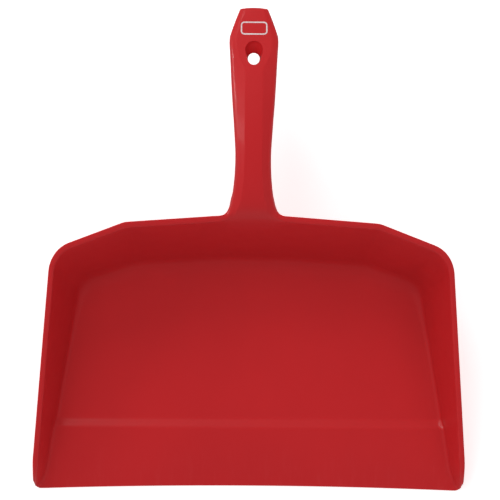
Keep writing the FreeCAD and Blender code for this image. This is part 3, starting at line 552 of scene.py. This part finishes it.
def hole_cutter():
    work = bmesh.new()
    rows = [[work.verts.new(p) for p in egg(level)] for level in HOLE_LEVELS]
    for upper, lower in zip(rows, rows[1:]):
        for k, corner in enumerate(upper):
            after = (k + 1) % len(upper)
            work.faces.new((corner, upper[after], lower[after], lower[k]))
    for row in (rows[0], rows[-1]):
        work.faces.new(row)
    bmesh.ops.recalc_face_normals(work, faces=work.faces)
    return work


# --- pieces -------------------------------------------------------------------------------------------------

KEPT = "surface_normal"
CAP_ANGLE = math.radians(50)


def as_object(name, work):
    mesh = bpy.data.meshes.new(name)
    work.to_mesh(mesh)
    item = bpy.data.objects.new(name, mesh)
    bpy.context.scene.collection.objects.link(item)
    return item


def remember_normals(work):
    """An object of the same shape whose corners carry the normals of the whole, uncut surface."""
    item = as_object("uncut", work)
    mesh = item.data
    mesh.shade_smooth()
    mesh.set_sharp_from_angle(angle=CAP_ANGLE)
    kept = mesh.attributes.new(KEPT, "FLOAT_VECTOR", "CORNER")
    flat = np.zeros(len(mesh.loops) * 3, np.float32)
    mesh.corner_normals.foreach_get("vector", flat)
    kept.data.foreach_set("vector", flat)
    return item


def drill(item, cutter):
    """The item's mesh less the cutter's shape; the hole's walls keep the normals stored in the cutter."""
    bpy.context.view_layer.update()
    modifier = item.modifiers.new("drill", "BOOLEAN")
    modifier.operation = "DIFFERENCE"
    modifier.solver = "EXACT"
    modifier.object = cutter
    drilled = bpy.data.meshes.new_from_object(item.evaluated_get(bpy.context.evaluated_depsgraph_get()))
    item.modifiers.remove(modifier)
    return drilled


def piece(name, mesh, cuts):
    """The part of a closed mesh on the far side of every cut. A cut is (axis, position in mm, side kept)."""
    work = bmesh.new()
    work.from_mesh(mesh)
    kept = work.loops.layers.float_vector[KEPT]
    for axis, place, side in cuts:
        normal = Vector([float(k == axis) for k in range(3)]) * -side
        point = Vector([place * MM if k == axis else 0.0 for k in range(3)])
        whole = work.verts[:] + work.edges[:] + work.faces[:]
        made = bmesh.ops.bisect_plane(work, geom=whole, dist=1e-7, plane_co=point, plane_no=normal,
                                      clear_outer=True)
        rim = [e for e in made["geom_cut"] if isinstance(e, bmesh.types.BMEdge) and len(e.link_faces) == 1]
        caps = bmesh.ops.triangle_fill(work, edges=rim, use_beauty=True, use_dissolve=False, normal=normal)
        for face in (f for f in caps["geom"] if isinstance(f, bmesh.types.BMFace)):
            if face.normal.dot(normal) < 0:
                face.normal_flip()
            for corner in face.loops:
                corner[kept] = normal
    item = as_object(name + "_skin", work)
    item.data.shade_smooth()
    flat = np.zeros(len(item.data.loops) * 3, np.float32)
    item.data.attributes[KEPT].data.foreach_get("vector", flat)
    vectors = flat.reshape(-1, 3)
    vectors /= np.maximum(np.linalg.norm(vectors, axis=-1, keepdims=True), 1e-6)
    item.data.normals_split_custom_set([tuple(v) for v in vectors])
    item.data.attributes.remove(item.data.attributes[KEPT])
    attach(item, "root")
    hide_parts(name)
    work.free()
    return item


X, Y = 0, 1
LIP_CUT, RAMP_CUT, RIDGE_CUT, CORNER_CUT, BACK_CUT = -153.0, -125.0, -112.0, -36.0, 74.0
NECK_CUT, GRIP_CUT, EYE_CUT = 28.6, 60.0, 118.0


def build_pieces():
    ring, bed = remember_normals(ring_shell()), remember_normals(bed_shell())
    cutter = remember_normals(hole_cutter())
    for corner in cutter.data.attributes[KEPT].data:    # a hole's wall faces the other way
        corner.vector = -Vector(corner.vector)
    whole_ring = drill(ring, cutter)
    pieces = [
        piece("front_lip", bed.data, [(Y, LIP_CUT, -1)]),
        piece("entry_ramp", bed.data, [(Y, LIP_CUT, 1), (Y, RAMP_CUT, -1)]),
        piece("retaining_ridge", bed.data, [(Y, RAMP_CUT, 1), (Y, RIDGE_CUT, -1)]),
        piece("tray_floor", bed.data, [(Y, RIDGE_CUT, 1)]),
        piece("left_wall", whole_ring, [(Y, CORNER_CUT, -1), (X, 0, -1)]),
        piece("right_wall", whole_ring, [(Y, CORNER_CUT, -1), (X, 0, 1)]),
        piece("left_rear_corner", whole_ring, [(Y, CORNER_CUT, 1), (X, -BACK_CUT, -1)]),
        piece("right_rear_corner", whole_ring, [(Y, CORNER_CUT, 1), (X, BACK_CUT, 1)]),
        piece("back_wall", whole_ring, [(Y, CORNER_CUT, 1), (X, -BACK_CUT, 1), (X, BACK_CUT, -1),
                                        (Y, NECK_CUT, -1)]),
        piece("handle_neck", whole_ring, [(Y, NECK_CUT, 1), (Y, GRIP_CUT, -1)]),
        piece("handle_grip", whole_ring, [(Y, GRIP_CUT, 1), (Y, EYE_CUT, -1)]),
        piece("hanging_eye", whole_ring, [(Y, EYE_CUT, 1)]),
    ]
    for item in (ring, bed, cutter):
        bpy.data.objects.remove(item)
    return pieces


pieces = build_pieces()

# --- camera -------------------------------------------------------------------------------------------------

CAMERA_DISTANCE = 2.5
CAMERA_TILT = math.radians(3.0)     # leans towards the handle's side
CAMERA_YAW = math.radians(1.0)      # and a little to the left
CAMERA_ROLL = math.radians(0.48)
SENSOR_WIDTH, LENS = 36.0, 262.386


def add_camera():
    data = bpy.data.cameras.new("main_camera")
    data.sensor_width = SENSOR_WIDTH
    data.lens = LENS
    data.clip_start, data.clip_end = 0.1, 20.0
    back = Vector((-math.tan(CAMERA_YAW), math.tan(CAMERA_TILT), 1)).normalized()
    level = Vector((0, 1, 0)).cross(back).normalized()
    right = Matrix.Rotation(CAMERA_ROLL, 3, back) @ level
    up = back.cross(right)
    camera = bpy.data.objects.new("main_camera", data)
    turn = Matrix((right, up, back)).transposed().to_4x4()
    camera.matrix_world = Matrix.Translation(back * CAMERA_DISTANCE) @ turn
    bpy.context.scene.collection.objects.link(camera)
    bpy.context.scene.camera = camera


# --- floor and light ----------------------------------------------------------------------------------------

def principled(name):
    material = bpy.data.materials.new(name)
    material.use_nodes = True
    return material, material.node_tree, material.node_tree.nodes["Principled BSDF"]


FLOOR_REACH, FLOOR_GAP = 6.0, 0.0003     # metres; the pan's underside stays clear of the floor by the gap


def add_floor():
    mesh = bpy.data.meshes.new("floor")
    reach = FLOOR_REACH
    mesh.from_pydata([(-reach, -reach, 0), (reach, -reach, 0), (reach, reach, 0), (-reach, reach, 0)], [],
                     [(0, 1, 2, 3)])
    floor = bpy.data.objects.new("floor", mesh)
    floor.location.z = -FLOOR_GAP
    bpy.context.scene.collection.objects.link(floor)
    material, _, shader = principled("floor_white")
    shader.inputs["Base Color"].default_value = (0.85, 0.85, 0.85, 1)
    shader.inputs["Roughness"].default_value = 0.9
    shader.inputs["Specular IOR Level"].default_value = 0.1
    shader.inputs["Emission Color"].default_value = (1, 1, 1, 1)
    shader.inputs["Emission Strength"].default_value = 0.6
    floor.data.materials.append(material)
    floor.visible_glossy = False


def add_light(name, place, size, power, mirrored=True, diffuse=True):
    data = bpy.data.lights.new(name, "AREA")
    data.shape = "RECTANGLE"
    data.size, data.size_y = size
    data.energy = power
    light = bpy.data.objects.new(name, data)
    light.location = place
    light.rotation_euler = (-Vector(place)).to_track_quat("-Z", "Y").to_euler()
    light.visible_glossy = mirrored
    light.visible_diffuse = diffuse
    bpy.context.scene.collection.objects.link(light)


def add_lights():
    add_light("overhead", (-0.5, 0.6, 2.2), (1.3, 1.0), 9, mirrored=False)
    add_light("key", (-0.7, 1.7, 1.6), (0.9, 0.7), 11)
    add_light("left", (-1.8, 0.6, 1.1), (0.3, 0.6), 6)
    add_light("glint", (-2.0, 0.3, 0.8), (0.8, 1.3), 8, diffuse=False)
    add_light("back_right", (1.3, 1.0, 1.9), (1.2, 1.2), 4, mirrored=False)
    add_light("front_right", (1.2, -1.3, 1.8), (1.4, 1.2), 8, mirrored=False)
    add_light("front_left", (-1.2, -1.3, 1.8), (1.4, 1.2), 4, mirrored=False)
    world = bpy.data.worlds.new("studio")
    world.use_nodes = True
    world.node_tree.nodes["Background"].inputs["Color"].default_value = (1, 1, 1, 1)
    world.node_tree.nodes["Background"].inputs["Strength"].default_value = 0.26
    bpy.context.scene.world = world
    bpy.context.scene.view_settings.view_transform = "Standard"


# --- materials ----------------------------------------------------------------------------------------------

def noise(tree, place, scale, detail=3.0, roughness=0.5, distortion=0.0):
    node = tree.nodes.new("ShaderNodeTexNoise")
    node.inputs["Scale"].default_value = scale
    node.inputs["Detail"].default_value = detail
    node.inputs["Roughness"].default_value = roughness
    node.inputs["Distortion"].default_value = distortion
    tree.links.new(place, node.inputs["Vector"])
    return node.outputs["Fac"]


def remap(tree, value, low, high, to_low, to_high):
    node = tree.nodes.new("ShaderNodeMapRange")
    for label, number in zip(("From Min", "From Max", "To Min", "To Max"), (low, high, to_low, to_high)):
        node.inputs[label].default_value = number
    tree.links.new(value, node.inputs["Value"])
    return node.outputs["Result"]


def math_node(tree, operation, first, second):
    node = tree.nodes.new("ShaderNodeMath")
    node.operation = operation
    for socket, value in zip(node.inputs, (first, second)):
        if isinstance(value, (int, float)):
            socket.default_value = value
        else:
            tree.links.new(value, socket)
    return node.outputs["Value"]


def mix_colour(tree, share, first, second):
    node = tree.nodes.new("ShaderNodeMix")
    node.data_type = "RGBA"
    sockets = [s for s in node.inputs if s.enabled]
    for socket, value in zip(sockets, (share, first, second)):
        if isinstance(value, (tuple, float, int)):
            socket.default_value = value
        else:
            tree.links.new(value, socket)
    return next(s for s in node.outputs if s.enabled)


def stretched(tree, place, scale):
    node = tree.nodes.new("ShaderNodeMapping")
    node.inputs["Scale"].default_value = scale
    tree.links.new(place, node.inputs["Vector"])
    return node.outputs["Vector"]


def bump(tree, height, strength, distance, under=None):
    node = tree.nodes.new("ShaderNodeBump")
    node.inputs["Strength"].default_value = strength
    node.inputs["Distance"].default_value = distance
    tree.links.new(height, node.inputs["Height"])
    if under is not None:
        tree.links.new(under, node.inputs["Normal"])
    return node.outputs["Normal"]


def plastic():
    """Red satin polypropylene: spark-eroded grain, faint flow marks, rub marks where the pan meets
    the ground."""
    material, tree, shader = principled("pan_plastic")
    place = tree.nodes.new("ShaderNodeTexCoord").outputs["Object"]
    split = tree.nodes.new("ShaderNodeSeparateXYZ")
    tree.links.new(place, split.inputs["Vector"])

    cloud = noise(tree, place, 9.0, 2.0)
    flow = noise(tree, stretched(tree, place, (14.0, 4.0, 14.0)), 1.6, 3.0, 0.55, 0.6)
    speck = noise(tree, place, 2400.0, 2.0)
    base = mix_colour(tree, remap(tree, cloud, 0.3, 0.7, 0.0, 1.0), (0.60, 0.0185, 0.0225, 1),
                      (0.65, 0.0205, 0.0245, 1))
    base = mix_colour(tree, remap(tree, flow, 0.35, 0.75, 0.0, 0.22), base, (0.56, 0.0175, 0.0210, 1))
    base = mix_colour(tree, remap(tree, speck, 0.35, 0.65, 0.0, 0.10), base, (0.70, 0.024, 0.027, 1))

    scuff_grain = noise(tree, stretched(tree, place, (60.0, 5.0, 60.0)), 6.0, 4.0, 0.6, 0.3)
    low = remap(tree, split.outputs["Z"], 0.0002, 0.0026, 1.0, 0.0)
    front = remap(tree, split.outputs["Y"], -0.128, -0.164, 0.0, 0.5)
    worn = math_node(tree, "MAXIMUM", low, front)
    scuff = math_node(tree, "MULTIPLY", worn, remap(tree, scuff_grain, 0.52, 0.72, 0.0, 1.0))
    base = mix_colour(tree, math_node(tree, "MULTIPLY", scuff, 0.25), base, (0.72, 0.075, 0.08, 1))
    tree.links.new(base, shader.inputs["Base Color"])

    gloss = remap(tree, noise(tree, place, 38.0, 4.0, 0.6), 0.3, 0.7, 0.35, 0.43)
    gloss = math_node(tree, "ADD", gloss, math_node(tree, "MULTIPLY", scuff, 0.22))
    tree.links.new(gloss, shader.inputs["Roughness"])

    grain = noise(tree, place, 1500.0, 3.0, 0.6)
    relief = bump(tree, grain, 0.16, 0.00008)
    relief = bump(tree, noise(tree, place, 26.0, 2.0), 0.10, 0.0012, relief)
    relief = bump(tree, scuff_grain, 0.06, 0.0002, relief)
    tree.links.new(relief, shader.inputs["Normal"])

    shader.inputs["IOR"].default_value = 1.49
    shader.inputs["Specular IOR Level"].default_value = 0.18
    shader.inputs["Coat Weight"].default_value = 0.22
    shader.inputs["Coat Roughness"].default_value = 0.10
    shader.inputs["Subsurface Weight"].default_value = 0.06
    shader.inputs["Subsurface Radius"].default_value = (0.0035, 0.0004, 0.0003)
    shader.inputs["Subsurface Scale"].default_value = 1.0
    return material


def ink():
    """Pad-printed pale ink with slightly uneven cover."""
    material, tree, shader = principled("mark_ink")
    place = tree.nodes.new("ShaderNodeTexCoord").outputs["Object"]
    cover = remap(tree, noise(tree, place, 900.0, 4.0, 0.65), 0.32, 0.62, 0.0, 1.0)
    base = mix_colour(tree, cover, (0.78, 0.55, 0.56, 1), (0.90, 0.82, 0.82, 1))
    tree.links.new(base, shader.inputs["Base Color"])
    tree.links.new(bump(tree, noise(tree, place, 1300.0, 3.0), 0.12, 0.00006), shader.inputs["Normal"])
    shader.inputs["Roughness"].default_value = 0.5
    return material


add_camera()
add_floor()
add_lights()
red, white = plastic(), ink()
for item in pieces:
    item.data.materials.append(red)
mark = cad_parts["printed_mark"]
for slot in mark.material_slots:
    slot.material = white
